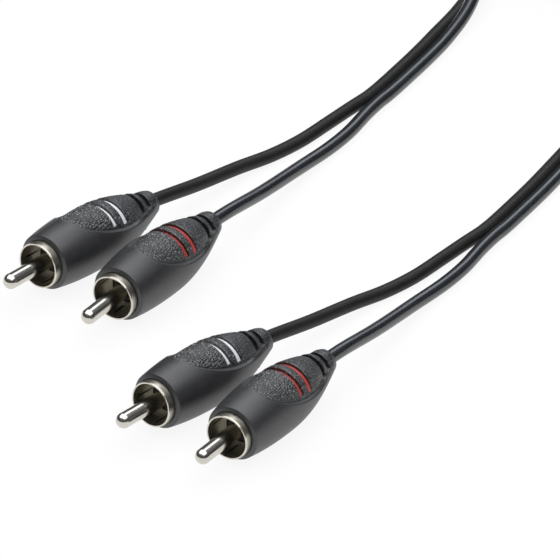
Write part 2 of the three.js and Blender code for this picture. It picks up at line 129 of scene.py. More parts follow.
def smooth_route(points, step):
    """A centripetal Catmull-Rom curve through the points, in even steps; all in mm."""
    p = np.array(points, float)
    p = np.vstack([2 * p[0] - p[1], p, 2 * p[-1] - p[-2]])
    dense = []
    for a, b, c, d in zip(p, p[1:], p[2:], p[3:]):
        t0, t1, t2 = (math.sqrt(np.linalg.norm(v)) for v in (b - a, c - b, d - c))
        leave = ((b - a) / t0 - (c - a) / (t0 + t1) + (c - b) / t1) * t1
        arrive = ((c - b) / t1 - (d - b) / (t1 + t2) + (d - c) / t2) * t1
        t = np.linspace(0, 1, SAMPLES_PER_SPAN, endpoint=False)[:, None]
        dense.append(b + leave * t + (3 * (c - b) - 2 * leave - arrive) * t**2
                     + (2 * (b - c) + leave + arrive) * t**3)
    dense = np.vstack(dense + [p[-2:-1]])
    along = np.concatenate([[0], np.cumsum(np.linalg.norm(np.diff(dense, axis=0), axis=1))])
    even = np.linspace(0, along[-1], max(2, round(along[-1] / step)) + 1)
    return np.stack([np.interp(even, along, dense[:, k]) for k in range(3)], axis=1)


def lengths_along(route):
    return np.concatenate([[0], np.cumsum(np.linalg.norm(np.diff(route, axis=0), axis=1))])


def unit(vectors):
    return vectors / np.linalg.norm(vectors, axis=-1, keepdims=True)


def skin(route, section, turn):
    """Rings of points: the section's first axis lies level where turn is 0."""
    tangent = unit(np.gradient(route, axis=0))
    level = unit(np.cross(tangent, [0, 0, 1]))
    upward = np.cross(level, tangent)
    turn = np.asarray(turn)[:, None]
    wide = level * np.cos(turn) + upward * np.sin(turn)
    thick = upward * np.cos(turn) - level * np.sin(turn)
    return (route[:, None] + wide[:, None] * section[None, :, :1]
            + thick[:, None] * section[None, :, 1:])


print("a bend from 0 to 90 mm gets", len(smooth_route([(0, 0, 0), (60, 9, 0), (90, 40, 0)], 1)),
      "points a millimetre apart")


# %% Mesh helpers
def shaded_mesh(name, points, faces, sharp):
    """A mesh in metres, shaded smooth except where its faces meet at more than sharp degrees."""
    mesh = bpy.data.meshes.new(name)
    mesh.from_pydata(points, [], faces)
    mesh.polygons.foreach_set("use_smooth", [True] * len(mesh.polygons))
    mesh.set_sharp_from_angle(angle=math.radians(sharp))
    return mesh


def mesh_of(name, rings, caps=True, sharp=40):
    """Rows of equal rings of points in mm, joined by quads, as one mesh in metres."""
    rows, columns = rings.shape[:2]
    index = np.arange(rows * columns).reshape(rows, columns)
    after = np.roll(index, -1, axis=1)
    quads = np.stack([index[:-1], after[:-1], after[1:], index[1:]], axis=-1).reshape(-1, 4)
    faces = quads.tolist()
    if caps:
        faces += [index[0, ::-1].tolist(), index[-1].tolist()]
    return shaded_mesh(name, (rings.reshape(-1, 3) * MM).tolist(), faces, sharp)


# %% [markdown]
# Each leg is a round lead of 2.8 mm. It leaves its plug's tail, sinks to the table under its
# own weight, and meets its neighbour where the twin starts. A simulation could let it fall
# there, but it would take long and wouldn't fall as it did in the picture. So the routes are
# points on the middle of the leads, in millimetres, and the second pair repeats the first.

# %% Leg routes
LEG_RADIUS = 1.4
LEG_SIDES = 28
LEG_STEP = 0.8
LEG_PITCH = 2.9  # between the middles of the twin's two leads
TAIL_OVERLAP = 4
SPLIT_OVERLAP = (-0.6, 1.2)
WHITE_LEG = [(5.43, 61.15, 3.9), (13.63, 70.6, 2.4), (20.09, 77.05, 1.5), (25.83, 82.85, 1.45),
             (31.73, 90.55, 1.45), (35.84, 96.05, 1.45)]
RED_LEG = [(11.58, 44.85, 7), (18.19, 56.35, 4.8), (25.83, 70.55, 2.4), (31.78, 80.05, 1.5),
           (35.73, 86.65, 1.45), (39.4, 94.5, 1.45)]
SPLIT = Vector((41.09, 100.58, 1.45))
SPLIT_HEADING = Vector((0.533, 0.846, 0)).normalized()
SPLIT_SIDE = SPLIT_HEADING.cross(Vector((0, 0, 1)))


def leg_route(matrix, route, side, offset):
    """From just inside the plug's tail to just inside the twin."""
    inside, tail = (matrix @ Vector((station * MM, 0, 0)) / MM
                    for station in (STATION_OF_END - TAIL_OVERLAP, STATION_OF_END))
    lobe = SPLIT + offset + SPLIT_SIDE * side * LEG_PITCH / 2
    through = [tuple(Vector(p) + offset) for p in route]
    ends = [tuple(lobe + SPLIT_HEADING * s) for s in SPLIT_OVERLAP]
    return smooth_route([tuple(inside), tuple(tail), *through, *ends], LEG_STEP)


def circle(radius, sides):
    angles = np.arange(sides) / sides * 2 * math.pi
    return radius * np.stack([np.cos(angles), np.sin(angles)], axis=1)


print("a leg's circle measures", round(2 * LEG_RADIUS, 2), "mm and has", LEG_SIDES, "sides")

# %% Legs
cords = {}
for end, offset in (("first", Vector()), ("second", SECOND_PAIR)):
    for colour, route, side in (("white", WHITE_LEG, -1), ("red", RED_LEG, 1)):
        name = f"{end}_{colour}_lead"
        matrix = PLUGS[f"{end}_{colour}"]
        path = leg_route(matrix, route, side, offset)
        mesh = mesh_of(name, skin(path, circle(LEG_RADIUS, LEG_SIDES), np.zeros(len(path))))
        leg = bpy.data.objects.new(name, mesh)
        cords[name] = (leg, path, 2 * LEG_RADIUS)
        print(name, round(lengths_along(path)[-1]), "mm long")

# %% [markdown]
# ## The twin and its coil
# The picture shows both ends of the twin and not its middle, so the middle is put away the
# way a shop would: in a tied coil beyond the picture's edge. A screw line would be the
# simplest coil, but it needs as many layers as turns. So the twin stands on edge in two
# layers. It comes in from the second pair on the lower layer, steps inwards once a turn,
# climbs to the upper layer, steps outwards again, and leaves for the first pair. Steps are
# short and all on one side of the coil, so elsewhere the turns lie neatly against each other.

# %% Coil route
COIL_CENTRE = (88.39, 178.95)
COIL_RADIUS = 30.4
COIL_FLOOR = 0.9
LAYER_HEIGHT = 5.7
COLUMN_WIDTH = 2.8
ENTER = -24
LEAVE = 2000
CLIMB = (970, 1020)
STEPS_IN = (336, 696)
STEPS_OUT = (1330, 1690)
STEP_SPAN = 50  # degrees that a step to the next column takes
COIL_SAMPLE = 8  # degrees between two points of the route


def ease(value, low, high):
    t = np.clip((np.asarray(value, float) - low) / (high - low), 0, 1)
    return t * t * (3 - 2 * t)


def coil_point(degrees):
    column = 1.0
    for at in STEPS_IN:
        column -= ease(degrees, at - STEP_SPAN - 5, at - 5)
    for at in STEPS_OUT:
        column += ease(degrees, at - STEP_SPAN, at)
    radius = COIL_RADIUS + column * COLUMN_WIDTH
    height = COIL_FLOOR + LAYER_HEIGHT / 2 + LAYER_HEIGHT * ease(degrees, *CLIMB)
    angle = math.radians(degrees)
    return (COIL_CENTRE[0] + radius * math.cos(angle), COIL_CENTRE[1] + radius * math.sin(angle),
            float(height))


coil_points = [coil_point(d) for d in np.arange(LEAVE, ENTER - 1, -COIL_SAMPLE)]
print("coil:", len(coil_points), "points,", round((LEAVE - ENTER) / 360, 2), "turns")

# %% Twin route
FIRST_RUN = [(46.83, 110.65, 1.45), (50.79, 118.15, 1.45), (54.73, 126.25, 1.45),
             (58.59, 134.65, 1.7), (61.39, 144.05, 3.4), (61.99, 153.55, 6.4)]
SECOND_RUN = [(69.43, 56.35, 1.45), (73.39, 63.85, 1.45), (77.33, 71.95, 1.45),
              (82.59, 83.05, 1.45), (89.09, 97.05, 1.45), (96.09, 112.05, 1.45),
              (103.09, 127.05, 1.45), (110.09, 142.55, 1.7), (115.79, 156.05, 2.6)]
FREE_OF_SPLIT = (0, 2.8)
TWIN_STEP = 1.1


def split_points(offset):
    return [tuple(SPLIT + offset + SPLIT_HEADING * s) for s in FREE_OF_SPLIT]


twin_route = smooth_route(split_points(Vector()) + FIRST_RUN + coil_points + SECOND_RUN[::-1]
                          + split_points(SECOND_PAIR)[::-1], TWIN_STEP)
twin_along = lengths_along(twin_route)
print("twin", round(twin_along[-1]), "mm long")

# %% [markdown]
# The twin's cross-section is two round leads side by side with a small valley between them.
# Two separate round leads would draw it too, but they would show a dark gap where the real
# jacket is joined. The valley is drawn with enough points to stay crisp where the light
# slides along it. The half that ends in the red plugs is glossy and the other one is matt, as
# in the picture, so the faces of each half get their own slot. On its way the twin turns by
# half a turn in all, so the glossy half meets both red leads. As it turns on edge it also
# rises, so that its lower edge stays on the table.

# %% Twin
LOBE_POINTS = 22
WAIST_ANGLE = math.radians(12)
TURN_BEHIND_FIRST_SPLIT, TURN_BEHIND_SECOND_SPLIT = (24, 62), (30, 75)
RESTING_GAP = 0.05


def twin_section():
    angles = np.linspace(-math.pi + WAIST_ANGLE, math.pi - WAIST_ANGLE, LOBE_POINTS)
    lobe = LEG_RADIUS * np.stack([np.cos(angles), np.sin(angles)], axis=1)
    lobe[:, 0] += LEG_PITCH / 2
    return np.vstack([lobe, lobe * (-1, -1)])


ahead = twin_along[-1] - twin_along
quarter_turns = (ease(twin_along, *TURN_BEHIND_FIRST_SPLIT)
                 + 1 - ease(ahead, *TURN_BEHIND_SECOND_SPLIT))
half_height = LEG_RADIUS + LEG_PITCH / 2 * np.abs(np.sin(quarter_turns * math.pi / 2))
twin_route[:, 2] = np.maximum(twin_route[:, 2], half_height + RESTING_GAP)
twin_mesh = mesh_of("twin_cable", skin(twin_route, twin_section(), quarter_turns * math.pi / 2),
                    sharp=60)
halves = np.arange(len(twin_mesh.polygons)) % (2 * LOBE_POINTS) >= LOBE_POINTS
twin_mesh.polygons.foreach_set("material_index", halves.astype(np.int32))
twin = bpy.data.objects.new("twin_cable", twin_mesh)
cords["twin_cable"] = (twin, twin_route, 2 * LEG_RADIUS + LEG_PITCH)
print("twin skin:", len(twin_mesh.polygons), "faces")

# %% [markdown]
# Each cord now joins the scene on the lead's body and takes the place of the plain solids
# that stood for it.

# %% Placing the cords
for name, (cord, path, width) in cords.items():
    bpy.context.scene.collection.objects.link(cord)
    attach(cord, "root")
for plug in PLUGS:
    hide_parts(plug + "_leg")
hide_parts("first_twin_run", "second_twin_run", "twin_coil")
print(len(cords), "cords declared")

# %% [markdown]
# ## Writing finishes as sums
# A finish is a small calculation over the surface: how rough, how dark, how high. Blender
# stores it as nodes and links, which could be added and joined one by one, at several lines
# for each sum. The class below wraps one output socket instead, and adding or multiplying two
# wrapped sockets adds the Math node that does it, so a finish can be read as ordinary
# arithmetic. A second class adds any other node, and a third holds a material's shader.

# %% Socket arithmetic
class Signal:
    """One number that varies over a surface."""

    def __init__(self, nodes, socket):
        self.nodes = nodes
        self.socket = socket

    def maths(self, operation, *inputs):
        return self.nodes.node("ShaderNodeMath", dict(operation=operation),
                               dict(enumerate(inputs)))

    def __add__(self, other):
        return self.maths("ADD", self, other)

    def __radd__(self, other):
        return self.maths("ADD", other, self)

    def __sub__(self, other):
        return self.maths("SUBTRACT", self, other)

    def __rsub__(self, other):
        return self.maths("SUBTRACT", other, self)

    def __mul__(self, other):
        return self.maths("MULTIPLY", self, other)

    def __rmul__(self, other):
        return self.maths("MULTIPLY", other, self)

    def __truediv__(self, other):
        return self.maths("DIVIDE", self, other)

    def __rtruediv__(self, other):
        return self.maths("DIVIDE", other, self)

    def __pow__(self, other):
        return self.maths("POWER", self, other)

    def __rpow__(self, other):
        return self.maths("POWER", other, self)

    def __abs__(self):
        return self.maths("ABSOLUTE", self)


print("a", Signal.__name__, "knows how to add, subtract, multiply, divide and raise to a power")


# %% Adding nodes
MIX_A, MIX_B, MIX_RESULT = 6, 7, 2  # a Mix node's colour sockets, by number


class Nodes:
    """A tree of nodes under construction."""

    def __init__(self, tree):
        self.tree = tree

    def node(self, kind, settings=None, sockets=None, out=0):
        made = self.tree.nodes.new(kind)
        for name, value in (settings or {}).items():
            if name == "stops":
                for element, (position, colour) in zip(made.color_ramp.elements, value):
                    element.position, element.color = position, colour
            else:
                setattr(made, name, value)
        for key, value in (sockets or {}).items():
            if isinstance(value, Signal):
                self.tree.links.new(value.socket, made.inputs[key])
            else:
                made.inputs[key].default_value = value
        return Signal(self, made.outputs[out])

    def blend(self, factor, a, b):
        """Two colours mixed by a signal."""
        return self.node("ShaderNodeMix", dict(data_type="RGBA"), {
            "Factor": factor, MIX_A: (*a, 1) if isinstance(a, tuple) else a,
            MIX_B: (*b, 1) if isinstance(b, tuple) else b}, out=MIX_RESULT)


print("any other node comes from one method of", Nodes.__name__)


# %% A material under construction
class Finish(Nodes):
    """A material whose nodes end in a Principled shader."""

    def __init__(self, name, **constants):
        self.material = bpy.data.materials.new(name)
        self.material.use_nodes = True
        super().__init__(self.material.node_tree)
        self.shader = self.tree.nodes["Principled BSDF"]
        for socket, value in constants.items():
            self.shader.inputs[socket.replace("_", " ")].default_value = value

    def feed(self, socket, signal):
        self.tree.links.new(signal.socket, self.shader.inputs[socket])

    def place(self):
        return self.node("ShaderNodeTexCoord", out="Object")

    def noise(self, size_mm, roughness=0.5):
        return self.node("ShaderNodeTexNoise", None, {
            "Vector": self.place(), "Scale": 1 / (size_mm * MM),
            "Detail": 3, "Roughness": roughness})

    def bump(self, height, depth_mm, over=None):
        sockets = {"Height": height, "Distance": depth_mm * MM, "Strength": 1.0}
        if over is not None:
            sockets["Normal"] = over
        return self.node("ShaderNodeBump", None, sockets)


def ramp_between(signal, low, high):
    """0 below low, 1 above high, and smooth between them."""
    return signal.nodes.node("ShaderNodeMapRange", dict(interpolation_type="SMOOTHSTEP"), {
        "Value": signal, "From Min": low, "From Max": high})


print("finishes can now be written as sums")

# %% [markdown]
# ## The boot's shape
# The boot is one soft moulding. It could be sculpted, or cut from a turned body with
# booleans, but its edges would then be as rough as the brush or the mesh. It is round enough
# that one formula can give its whole outside instead: the radius at each station and angle. A
# barrel swells quickly behind the front edge and tapers long and full to the tail. A grip
# panel is sunk into its upper side, hollow along its edges and with a smooth wall round it.
# So far these are the sizes that the solid was made from, but for a wider slope at the
# panel's rear. Two grooves across the panel show the coloured plastic underneath, and two
# flexing slots behind them are cut flat across, deep above and shallow below. Their crisp
# edges and ridges are added here.

# %% Boot sizes
LIP_SETBACK, LIP_RADIUS = 2.0, 5.75
WIDEST_STATION, WIDEST_RADIUS, SWELL_POWER = 15.6, 6.75, 2.4
TAIL_STATION, TAIL_RADIUS = 34.0, 2.7
PANEL_START, PANEL_END, PANEL_REACH = 7.9, 34.2, math.radians(87)
PANEL_FULLNESS, PANEL_WALL = 0.5, 0.7
REAR_WALL, REAR_WALL_SPAN = 1.3, (23, 30)
PANEL_DEPTH, PANEL_HOLLOW = 0.42, 1.2
PANEL_SINK, PANEL_RISE = (7.9, 12.9), (31.2, 33.7)
STRIPES = ((18.15, 1.0, 5.62), (21.25, 1.15, 5.35))
STRIPE_MARGIN = math.radians(13)
GROOVE_AIR, GROOVE_SHADOW, GROOVE_FLOOR = 0.03, 0.12, 0.1
RIDGE_HEIGHT, RIDGE_WIDTH = 0.16, 0.3
RELIEF_SLOTS, RELIEF_WIDTH = (28.35, 31.0), 1.25
RELIEF_FLOORS, RELIEF_CORE = (1.1, 2.6), 1.55
WALL = 0.03  # half the width of the slope that a groove's steep side takes


def barrel_radius(station):
    ahead = np.clip((WIDEST_STATION - station) / (WIDEST_STATION - LIP_SETBACK), 0, 1)
    behind = np.clip((station - WIDEST_STATION) / (TAIL_STATION - WIDEST_STATION), 0, 1)
    front = WIDEST_RADIUS - (WIDEST_RADIUS - LIP_RADIUS) * ahead**SWELL_POWER
    rear = TAIL_RADIUS + (WIDEST_RADIUS - TAIL_RADIUS) * np.cos(behind * math.pi / 2)
    return np.where(station < WIDEST_STATION, front, rear)


def panel_edge(station):
    along = np.clip((station - PANEL_START) / (PANEL_END - PANEL_START), 0, 1)
    return PANEL_REACH * np.sin(math.pi / 2 * along**PANEL_FULLNESS)


def border_distance(station, angle):
    """How far inside the panel's outline a place is, in mm along the surface."""
    slope = (panel_edge(station + 0.05) - panel_edge(station - 0.05)) / 0.1
    around = barrel_radius(station)
    return (panel_edge(station) - angle) * around / np.sqrt(1 + (around * slope) ** 2)


def panelled_radius(station, angle):
    """The barrel with its panel sunk, before any detail; the angle is from the panel's middle."""
    depth = PANEL_DEPTH * ease(station, *PANEL_SINK) * (1 - ease(station, *PANEL_RISE))
    sideways = np.minimum(angle / np.maximum(panel_edge(station), 1e-3), 1)
    wall = PANEL_WALL + REAR_WALL * ease(station, *REAR_WALL_SPAN)
    inside = ease(border_distance(station, angle) / wall, 0, 1)
    return barrel_radius(station) - depth * (1 + PANEL_HOLLOW * sideways**2) * inside


print("boot:", 2 * WIDEST_RADIUS, "mm at its widest,", 2 * TAIL_RADIUS, "mm at its tail")


# %% Boot details
def across(station, low, high):
    """1 inside a groove, 0 outside it, with a steep wall at each side."""
    return (np.clip((station - low + WALL) / (2 * WALL), 0, 1)
            * np.clip((high + WALL - station) / (2 * WALL), 0, 1))


def groove_span(middle, width):
    return middle - width / 2 - GROOVE_AIR, middle + width / 2 + GROOVE_SHADOW


def slot_span(middle):
    return middle - RELIEF_WIDTH / 2, middle + RELIEF_WIDTH / 2


DETAIL_SPANS = [groove_span(m, w) for m, w, _ in STRIPES] + [slot_span(m) for m in RELIEF_SLOTS]


def ridge_behind(station, edge):
    """A soft raised line just behind an edge."""
    bell = np.exp(-(((station - edge - RIDGE_WIDTH) / (0.6 * RIDGE_WIDTH)) ** 2))
    return bell * (station > edge)


def boot_radius(station, angle):
    radius = panelled_radius(station, angle)
    for middle, width, stripe_radius in STRIPES:
        low, high = groove_span(middle, width)
        end = (panel_edge(middle) - STRIPE_MARGIN) * WIDEST_RADIUS
        along = 1 - ease(angle * WIDEST_RADIUS, end, end + 0.2)
        radius = radius + RIDGE_HEIGHT * ridge_behind(station, high) * along
        floor = np.minimum(radius, stripe_radius - GROOVE_FLOOR)
        radius = radius + (floor - radius) * across(station, low, high) * along
    for middle in RELIEF_SLOTS:
        low, high = slot_span(middle)
        for floor, turned in zip(RELIEF_FLOORS, (angle, math.pi - angle)):
            flat = np.maximum(floor / np.maximum(np.cos(turned), 0.05), RELIEF_CORE)
            bottom = np.minimum(radius, flat)
            inside = ease(radius - bottom, 0, 0.4)
            radius = radius + 0.6 * RIDGE_HEIGHT * ridge_behind(station, high) * inside
            radius = radius + (bottom - radius) * across(station, low, high)
    return radius


print("stripes at", [middle for middle, _, _ in STRIPES], "and slots at", RELIEF_SLOTS, "mm")

# %% [markdown]
# The grip panel is pebbled. A bump in the material could draw its grains, but the light from
# the side would not find them. They are half a millimetre wide, large enough to be shaped in
# the mesh itself, so they also show in the outline. Each grain is a small dome at a random
# place near the middle of a cell of an even grid, which keeps grains from falling on each
# other. The smooth wall round the panel and the ground behind each groove stay plain.

# %% Pebbles
PEBBLE = 0.46
PEBBLE_HEIGHT = 0.13
PEBBLE_CLEARANCE = 0.6
PEBBLE_JITTER = 0.32
PEBBLE_SPREAD = 0.34
PEBBLE_SEED, PEBBLE_CELLS = 7, 96


def pebbles(station, angle):
    """Heights in mm of the grains at each place of the surface."""
    draw = np.random.default_rng(PEBBLE_SEED)
    grid = draw.uniform(-PEBBLE_JITTER, PEBBLE_JITTER, (PEBBLE_CELLS, PEBBLE_CELLS, 2))
    u, v = np.broadcast_arrays(station / PEBBLE, angle * WIDEST_RADIUS / PEBBLE)
    height = np.zeros(u.shape)
    for du in (-1, 0, 1):
        for dv in (-1, 0, 1):
            i, j = np.floor(u).astype(int) + du, np.floor(v).astype(int) + dv
            jitter = grid[i % PEBBLE_CELLS, j % PEBBLE_CELLS]
            gone = (u - i - 0.5 - jitter[..., 0]) ** 2 + (v - j - 0.5 - jitter[..., 1]) ** 2
            height = np.maximum(height, 1 - gone / PEBBLE_SPREAD)
    return PEBBLE_HEIGHT * height


def grip_share(station, angle):
    """1 where the surface is pebbled, 0 where it is smooth."""
    share = ease(border_distance(station, angle), PEBBLE_CLEARANCE, PEBBLE_CLEARANCE + 0.25)
    for low, high in DETAIL_SPANS:
        share = share * (1 - across(station, low - 0.1, high + 2 * RIDGE_WIDTH))
    return share * (1 - 0.55 * ease(station, 23, 28)) * (1 - ease(station, 32.2, 33))


print("pebbles", PEBBLE, "mm wide and", PEBBLE_HEIGHT, "mm high")

# %% [markdown]
# The boot's outside is a sheet of rings of points. Even rows would be simpler, but would blur
# the grooves. So there is a row at the top and the foot of each groove's wall, which keeps
# its edges sharp, and the columns are closer across the panel than on the plain side. In
# front the skin turns over the lip and down the hole that the metal ring sits in. At the tail
# it rounds over into the hole for the lead.

# %% Boot mesh
PANEL_COLUMNS, PLAIN_COLUMNS = 280, 56
PANEL_SPAN = math.radians(88)
HOLE_RADIUS = 4.78
LIP_ROUND = 0.3
LEAD_HOLE_RADIUS = 1.44
ROW_STEP_IN_FRONT, ROW_STEP = 0.3, 0.125
TAIL_END_RADIUS, TAIL_END_ROUND = 2.62, 0.55


def boot_angles():
    over = np.linspace(-PANEL_SPAN, PANEL_SPAN, PANEL_COLUMNS, endpoint=False)
    under = np.linspace(PANEL_SPAN, 2 * math.pi - PANEL_SPAN, PLAIN_COLUMNS, endpoint=False)
    return np.concatenate([over, under])


def boot_stations():
    edges = [edge + o for span in DETAIL_SPANS for edge in span for o in (-WALL, WALL)]
    even = np.concatenate([np.arange(LIP_SETBACK + LIP_ROUND, PANEL_START, ROW_STEP_IN_FRONT),
                           np.arange(PANEL_START, TAIL_STATION, ROW_STEP)])
    clear = [s for s in even if min(abs(s - e) for e in edges) > 0.04]
    return np.array(sorted(clear + edges))


def round_the_axis(station, radius, angle):
    """Points at each station and radius, at each angle from the middle of the grip panel."""
    return np.stack(np.broadcast_arrays(
        station, radius * np.sin(angle), radius * np.cos(angle)), axis=-1)


def rows_at(profile, angle):
    """Rings of points for [station, radius] pairs, turned about the plug's axis."""
    station, radius = np.array(profile, float).T
    return round_the_axis(station[:, None], radius[:, None], angle)


def turned_rows(profile, columns):
    return rows_at(profile, np.arange(columns) / columns * 2 * math.pi)


def quarter_round(station, radius, size, steps, outwards):
    """Pairs round a corner, from facing along the axis to facing away from it."""
    bends = np.linspace(0, math.pi / 2, steps + 2)[1:-1]
    pairs = [(station + size * (1 - math.cos(b)), radius - size * (1 - math.sin(b)))
             for b in bends]
    return pairs if outwards else [(2 * station + size - s, r) for s, r in pairs[::-1]]


def boot_rings():
    theta = boot_angles()
    from_panel = np.arccos(np.cos(theta))
    station = boot_stations()[:, None]
    radius = boot_radius(station, from_panel[None, :])
    radius = radius + pebbles(station, theta) * grip_share(station, from_panel[None, :])
    outside = round_the_axis(station, radius, theta)
    lip = float(barrel_radius(np.array(LIP_SETBACK + LIP_ROUND)))
    front = [(4.4, HOLE_RADIUS), (1.9, HOLE_RADIUS), (1.8, HOLE_RADIUS + 0.05), (1.78, 4.95),
             (1.86, 5.2)]
    front += quarter_round(LIP_SETBACK, lip, LIP_ROUND, 4, True)
    tail = [(TAIL_STATION + 0.16, TAIL_END_RADIUS)]
    tail += quarter_round(TAIL_STATION + 0.16, TAIL_END_RADIUS, TAIL_END_ROUND, 5, False)
    tail += [(TAIL_STATION + 0.71, 1.9), (TAIL_STATION + 0.66, 1.6),
             (TAIL_STATION + 0.5, LEAD_HOLE_RADIUS), (TAIL_STATION - 2, LEAD_HOLE_RADIUS)]
    return np.vstack([rows_at(front, theta), outside, rows_at(tail, theta)])


boot_mesh = mesh_of("boot", boot_rings(), caps=False, sharp=50)
print("boot:", len(boot_mesh.polygons), "faces")

# %% [markdown]
# ## The coloured body under the boot
# On the real plug the stripes aren't painted: they are ribs of a white or red body that the
# black boot was moulded over, and they lie a little lower than the boot. Two colours in the
# boot's material would miss that step in height. So they are drawn as that body, a plain
# turned core with two ribs on its upper side.

# %% Inner body mesh
CORE_RADIUS, CORE_WAIST, CORE_COLUMNS = 4.6, 3.9, 64
RIB_SOFTNESS, RIB_COLUMNS = 0.06, 96


def rib_rows(middle, width, top):
    spread = float(panel_edge(np.array(middle))) - STRIPE_MARGIN + 0.02
    half, soft = width / 2, RIB_SOFTNESS
    outline = [(-half, CORE_WAIST - 0.3), (-half, top - soft), (-half + soft, top),
               (0, top + 0.02), (half - soft, top), (half, top - soft), (half, CORE_WAIST - 0.3)]
    return np.array([[(middle + x, r * math.sin(a), r * math.cos(a)) for x, r in outline]
                     for a in np.linspace(-spread, spread, RIB_COLUMNS)])


def joined(name, meshes):
    """Several meshes as one, so that one moulding is one piece."""
    points, faces = [], []
    for part in meshes:
        base = len(points)
        points += [tuple(v.co) for v in part.vertices]
        faces += [[base + i for i in f.vertices] for f in part.polygons]
        bpy.data.meshes.remove(part)
    return shaded_mesh(name, points, faces, 38)


core_profile = [(7.9, 2.5), (7.9, CORE_RADIUS), (11.4, CORE_RADIUS), (13.4, CORE_WAIST),
                (22.5, CORE_WAIST), (26, 3), (26, 1.75)]
core = mesh_of("core", turned_rows(core_profile, CORE_COLUMNS), caps=False)
ribs = [mesh_of("rib", rib_rows(*stripe)) for stripe in STRIPES]
inner_mesh = joined("inner_body", [core, *ribs])
print("inner body:", len(inner_mesh.polygons), "faces")

# %% [markdown]
# ## The metal parts
# The ground ring is a stamped cup: a thin nickel-plated wall, slotted four times behind its
# rim so that it springs over the jack. A boolean could cut the slots, but it leaves long thin
# faces that spoil a mirror finish. A turned body with some faces left out gives clean slots,
# and walls are then drawn across each slot's edges. The pin is a turned rod with a round
# nose, and the insulator that it stands in is a turned disc with a raised rim round the pin.

# %% Ground ring mesh
RING_RADIUS, RING_WALL, RING_DEPTH = 4.75, 0.36, 4.6
SLOT_FROM, SLOT_TO, SLOT_WIDTH = 1.5, 4.6, 0.4
QUARTER_COLUMNS = 37


def ring_angles():
    half = SLOT_WIDTH / 2 / RING_RADIUS
    steps = np.linspace(half, math.pi / 2 - half, QUARTER_COLUMNS)
    return np.sort(np.concatenate([q * math.pi / 2 + steps for q in range(4)]))


def ground_ring_mesh():
    """A closed profile turned about the axis, with a gap in it at each of the four slots."""
    inside = RING_RADIUS - RING_WALL
    stations = [SLOT_TO, 4, 3, 2.2, SLOT_FROM]
    outer = [(5.1, 3.2), (5.1, RING_RADIUS - 0.3), (4.95, RING_RADIUS - 0.08), (4.8, RING_RADIUS)]
    outer += [(s, RING_RADIUS) for s in stations]
    rim = [(0.5, RING_RADIUS), (0.12, RING_RADIUS), (0.035, RING_RADIUS - 0.035),
           (0, RING_RADIUS - 0.12), (0, inside + 0.12), (0.035, inside + 0.035), (0.12, inside),
           (0.5, inside)]
    inner = [(s, inside) for s in stations[::-1]]
    floor = [(RING_DEPTH, inside - 0.02), (RING_DEPTH, inside - 0.5), (RING_DEPTH, 3.2)]
    profile = outer + rim + inner + floor
    angles = ring_angles()
    count, rows = len(angles), len(profile)
    points = (rows_at(profile, angles).reshape(-1, 3) * MM).tolist()
    first, last = len(outer) - len(stations), len(outer) - 1
    mirror = len(outer) + len(rim) + len(inner) - 1
    is_slot = [(j + 1) % (count // 4) == 0 for j in range(count)]
    faces = []
    for i in range(rows):
        k = (i + 1) % rows
        in_slot_rows = first <= i < last or mirror - (last - first) <= i < mirror
        for j in range(count):
            n = (j + 1) % count
            if not (in_slot_rows and is_slot[j]):
                faces.append((i * count + j, i * count + n, k * count + n, k * count + j))
    for j in (j for j in range(count) if is_slot[j]):
        n = (j + 1) % count
        for i in range(first, last):
            a, b = i, mirror - (i - first)
            faces.append((a * count + j, (a + 1) * count + j, (b - 1) * count + j, b * count + j))
            faces.append((a * count + n, b * count + n, (b - 1) * count + n, (a + 1) * count + n))
        for i in (first, last):
            b = mirror - (i - first)
            quad = (i * count + j, i * count + n, b * count + n, b * count + j)
            faces.append(quad if i == last else quad[::-1])
    return shaded_mesh("ground_ring", points, faces, 32)


ring_mesh = ground_ring_mesh()
print("ground ring:", len(ring_mesh.polygons), "faces")

# %% Pin and insulator meshes
PIN_RADIUS, PIN_REACH = 1.6, 9.7
NOSE_STEPS, TURNED_COLUMNS = 22, 72

nose = [(-PIN_REACH + PIN_RADIUS * (1 - math.cos(a)), max(PIN_RADIUS * math.sin(a), 1e-3))
        for a in np.linspace(0, math.pi / 2, NOSE_STEPS)]
pin_profile = nose + [(s, PIN_RADIUS) for s in (-6, -3, 0, 3, 6, 7.8)] + [
    (7.8, 2.2), (8.4, 2.2), (8.4, 1.2), (13, 1.2), (13, 0.7), (10, 0.7)]
pin_mesh = mesh_of("centre_pin", turned_rows(pin_profile, TURNED_COLUMNS), sharp=35)

insulator_profile = [(7.5, 1.9), (5, 1.72), (4.46, 1.72), (4.4, 1.8), (4.4, 2.78), (4.46, 2.88),
                     (4.6, 2.9), (5.4, 2.9), (5.4, 3.5), (7.5, 3.5)]
insulator_mesh = mesh_of("insulator", turned_rows(insulator_profile[::-1], TURNED_COLUMNS),
                         caps=False, sharp=35)
print("pin:", len(pin_mesh.polygons), "faces; insulator:", len(insulator_mesh.polygons), "faces")

# %% [markdown]
# ## Soft black plastic
# The boots are a satin PVC. Their plain skin is almost smooth, with the faint unevenness of a
# thick moulding. On the grip panels the light catches single grains, and a painted highlight,
# a paler colour, is put on some grains, fewer towards the tail. The panels could be a second
# material on chosen faces. Instead, where they are is worked out from the place on the plug,
# with the same formula that shaped them, so that grain and border agree.

# %% Boot finish
PVC_DARK, PVC_LIGHT = (0.0145, 0.0152, 0.0175), (0.021, 0.022, 0.0248)
# The paler colour put on some grains is a painted highlight of the light that they catch.
PAINTED_GLINT_COLOUR, SPECK_SIZE = (0.34, 0.35, 0.36), 0.42


